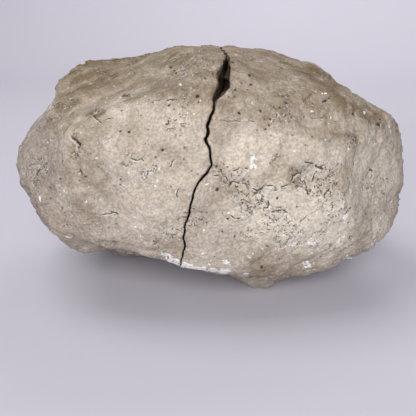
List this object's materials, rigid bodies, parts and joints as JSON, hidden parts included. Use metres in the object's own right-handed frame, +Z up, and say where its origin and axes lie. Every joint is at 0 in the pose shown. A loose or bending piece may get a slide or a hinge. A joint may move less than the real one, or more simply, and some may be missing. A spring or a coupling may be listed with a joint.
{
  "type": "halved calcite geode",
  "caption": "Closed limestone geode with calcite, split across by a jagged crack with its halves set back together, for display or as a paperweight.",
  "frame": {"origin": "on the surface the stone rests on, under the middle of its outline", "axes": "+X along the stone to its right end, -Y towards its front, where the split is widest, +Z up"},
  "size_m": [0.2, 0.126, 0.12],
  "materials": {
    "limestone": "rough weathered"
  },
  "bodies": {
    "root": {"left_half": "limestone", "right_half": "limestone"}
  },
  "joints": []
}
